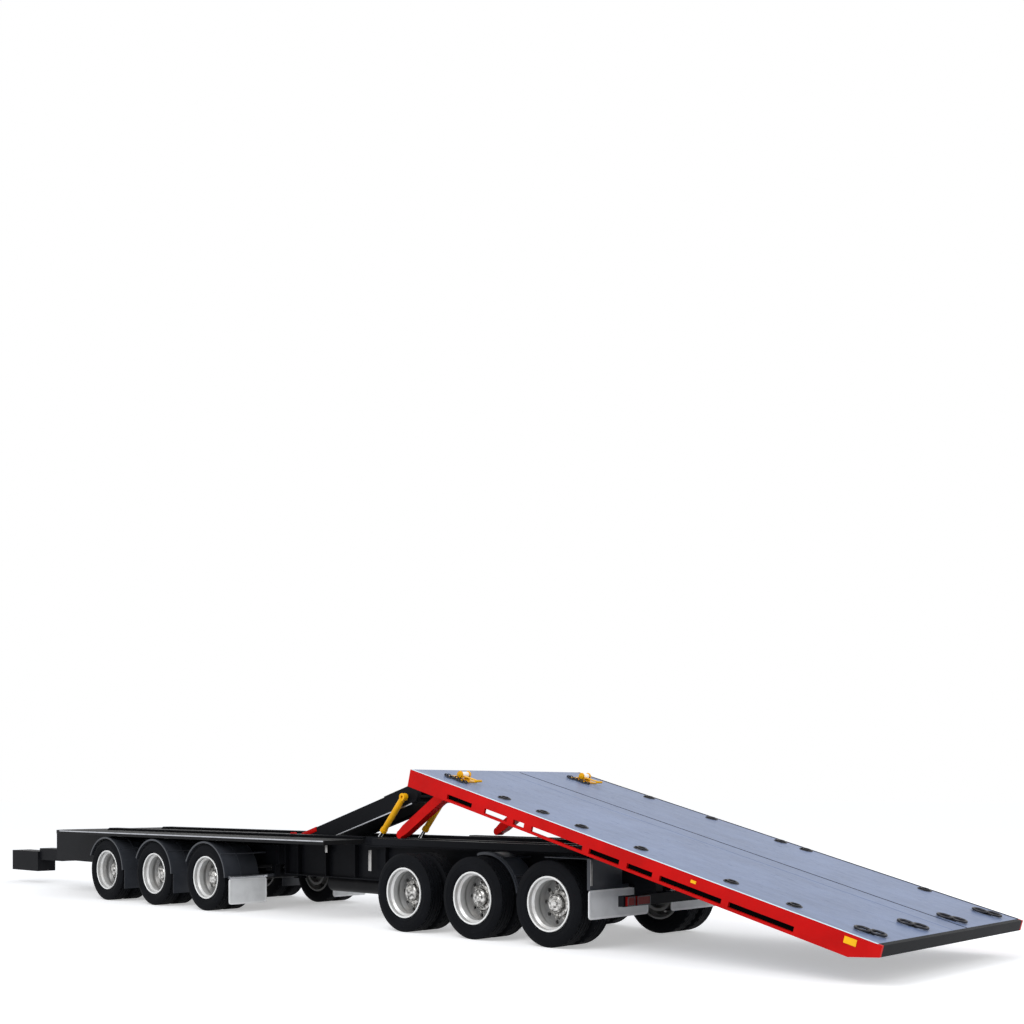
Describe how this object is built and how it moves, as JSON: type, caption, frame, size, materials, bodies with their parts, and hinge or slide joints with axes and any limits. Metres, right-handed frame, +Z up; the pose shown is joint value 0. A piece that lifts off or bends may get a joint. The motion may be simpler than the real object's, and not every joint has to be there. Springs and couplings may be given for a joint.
{
  "type": "tilt and slide trailer",
  "caption": "Low equipment trailer with a steering turntable dolly, twin-tyred axles, a raised lift frame and a wide red-railed deck that tilts and slides to the ground.",
  "frame": {"origin": "on the ground, below the middle of the trailer's box as it stands with the deck tilted", "axes": "+X forward along the trailer, +Y to its left, +Z up"},
  "size_m": [18.4766, 3.012, 1.9187],
  "materials": {
    "chassis_black": "satin",
    "guard_black": "satin",
    "tank_black": "gloss",
    "platform_grey": "satin",
    "hinge_red": "gloss",
    "rail_red": "gloss",
    "deck_blue_grey": "satin",
    "lamp_red": "gloss",
    "lamp_amber": "gloss",
    "bag_rubber": "matte",
    "flap_grey": "matte",
    "eye_steel": "worn",
    "ram_yellow": "gloss",
    "rod_chrome": "polished",
    "tyre": "matte",
    "rim_silver": "satin"
  },
  "bodies": {
    "chassis": {"main_beams": "chassis_black", "crossmembers": "chassis_black", "outriggers": "chassis_black", "platform": "platform_grey", "side_runways": "chassis_black", "slide_rails": "chassis_black", "turntable_upper": "chassis_black", "lift_hinge_lugs": "hinge_red", "rear_bolster": "chassis_black", "rear_lamps": "lamp_red", "rear_suspension": "chassis_black", "rear_air_bags": "bag_rubber", "rear_axles": "chassis_black", "rear_guards": "guard_black", "rear_mudflaps": "flap_grey", "air_tanks": "tank_black"},
    "dolly": {"dolly_frame": "chassis_black", "drawbar": "chassis_black", "tow_eye": "eye_steel", "turntable_lower": "chassis_black", "dolly_suspension": "chassis_black", "dolly_air_bags": "bag_rubber", "dolly_axles": "chassis_black", "dolly_guards": "guard_black", "dolly_mudflaps": "flap_grey"},
    "cradle": {"cradle": "chassis_black"},
    "deck": {"deck_frame": "chassis_black", "deck_plates": "deck_blue_grey", "side_rails": "rail_red", "tail_lip": "chassis_black", "deck_lamps": "lamp_amber"},
    "legs": {"prop_legs": "hinge_red"},
    "lift": {"lift_frame": "chassis_black"},
    "ram_barrels": {"ram_barrels": "ram_yellow"},
    "ram_rods": {"ram_rods": "rod_chrome"},
    "wheel_f1_left": {"tyres_f1_left": "tyre", "rims_f1_left": "rim_silver"},
    "wheel_f1_right": {"tyres_f1_right": "tyre", "rims_f1_right": "rim_silver"},
    "wheel_f2_left": {"tyres_f2_left": "tyre", "rims_f2_left": "rim_silver"},
    "wheel_f2_right": {"tyres_f2_right": "tyre", "rims_f2_right": "rim_silver"},
    "wheel_f3_left": {"tyres_f3_left": "tyre", "rims_f3_left": "rim_silver"},
    "wheel_f3_right": {"tyres_f3_right": "tyre", "rims_f3_right": "rim_silver"},
    "wheel_r1_left": {"tyres_r1_left": "tyre", "rims_r1_left": "rim_silver"},
    "wheel_r1_right": {"tyres_r1_right": "tyre", "rims_r1_right": "rim_silver"},
    "wheel_r2_left": {"tyres_r2_left": "tyre", "rims_r2_left": "rim_silver"},
    "wheel_r2_right": {"tyres_r2_right": "tyre", "rims_r2_right": "rim_silver"},
    "wheel_r3_left": {"tyres_r3_left": "tyre", "rims_r3_left": "rim_silver"},
    "wheel_r3_right": {"tyres_r3_right": "tyre", "rims_r3_right": "rim_silver"}
  },
  "joints": [
    {"name": "dolly_steer", "type": "hinge", "parent": "chassis", "child": "dolly", "pos_m": [2.46828, 0, 0.96], "axis": [0, 0, 1], "range_deg": [-45, 45]},
    {"name": "bed_tilt", "type": "hinge", "parent": "chassis", "child": "cradle", "pos_m": [-5.71472, 0, 0.985], "axis": [0, 1, 0], "range_deg": [-4, 14.9]},
    {"name": "bed_slide", "type": "slide", "parent": "cradle", "child": "deck", "axis": [0.9664, 0, 0.2571], "range_m": [0, 3.3]},
    {"name": "leg_fold", "type": "hinge", "parent": "deck", "child": "legs", "pos_m": [-3.50066, 0, 1.74486], "axis": [0, -1, 0], "range_deg": [-12.9, 47.6]},
    {"name": "lift_fold", "type": "hinge", "parent": "chassis", "child": "lift", "pos_m": [0.19828, 0, 1.01], "axis": [0, -1, 0], "range_deg": [0, 16.4]},
    {"name": "ram_swing", "type": "hinge", "parent": "chassis", "child": "ram_rods", "pos_m": [-1.42172, 0, 0.9], "axis": [0, -1, 0], "range_deg": [-0.1, 45.39]},
    {"name": "ram_stroke", "type": "slide", "parent": "ram_rods", "child": "ram_barrels", "axis": [-0.6589, 0, 0.7522], "range_m": [-0.2406, 0.001]},
    {"name": "wheel_f1_left_spin", "type": "hinge", "parent": "dolly", "child": "wheel_f1_left", "pos_m": [3.79828, 0.982, 0.465], "axis": [0, 1, 0], "continuous": true},
    {"name": "wheel_f1_right_spin", "type": "hinge", "parent": "dolly", "child": "wheel_f1_right", "pos_m": [3.79828, -0.982, 0.465], "axis": [0, 1, 0], "continuous": true},
    {"name": "wheel_f2_left_spin", "type": "hinge", "parent": "dolly", "child": "wheel_f2_left", "pos_m": [2.46828, 0.982, 0.465], "axis": [0, 1, 0], "continuous": true},
    {"name": "wheel_f2_right_spin", "type": "hinge", "parent": "dolly", "child": "wheel_f2_right", "pos_m": [2.46828, -0.982, 0.465], "axis": [0, 1, 0], "continuous": true},
    {"name": "wheel_f3_left_spin", "type": "hinge", "parent": "dolly", "child": "wheel_f3_left", "pos_m": [1.13828, 0.982, 0.465], "axis": [0, 1, 0], "continuous": true},
    {"name": "wheel_f3_right_spin", "type": "hinge", "parent": "dolly", "child": "wheel_f3_right", "pos_m": [1.13828, -0.982, 0.465], "axis": [0, 1, 0], "continuous": true},
    {"name": "wheel_r1_left_spin", "type": "hinge", "parent": "chassis", "child": "wheel_r1_left", "pos_m": [-2.97172, 0.982, 0.465], "axis": [0, 1, 0], "continuous": true},
    {"name": "wheel_r1_right_spin", "type": "hinge", "parent": "chassis", "child": "wheel_r1_right", "pos_m": [-2.97172, -0.982, 0.465], "axis": [0, 1, 0], "continuous": true},
    {"name": "wheel_r2_left_spin", "type": "hinge", "parent": "chassis", "child": "wheel_r2_left", "pos_m": [-4.11172, 0.982, 0.465], "axis": [0, 1, 0], "continuous": true},
    {"name": "wheel_r2_right_spin", "type": "hinge", "parent": "chassis", "child": "wheel_r2_right", "pos_m": [-4.11172, -0.982, 0.465], "axis": [0, 1, 0], "continuous": true},
    {"name": "wheel_r3_left_spin", "type": "hinge", "parent": "chassis", "child": "wheel_r3_left", "pos_m": [-5.25172, 0.982, 0.465], "axis": [0, 1, 0], "continuous": true},
    {"name": "wheel_r3_right_spin", "type": "hinge", "parent": "chassis", "child": "wheel_r3_right", "pos_m": [-5.25172, -0.982, 0.465], "axis": [0, 1, 0], "continuous": true}
  ],
  "couplings": [
    {"joint": "leg_fold", "follows": "bed_tilt", "ratio": 3.1812},
    {"joint": "ram_swing", "follows": "lift_fold", "ratio": 2.7555},
    {"joint": "ram_stroke", "follows": "lift_fold", "m_per_rad": -0.8371}
  ]
}
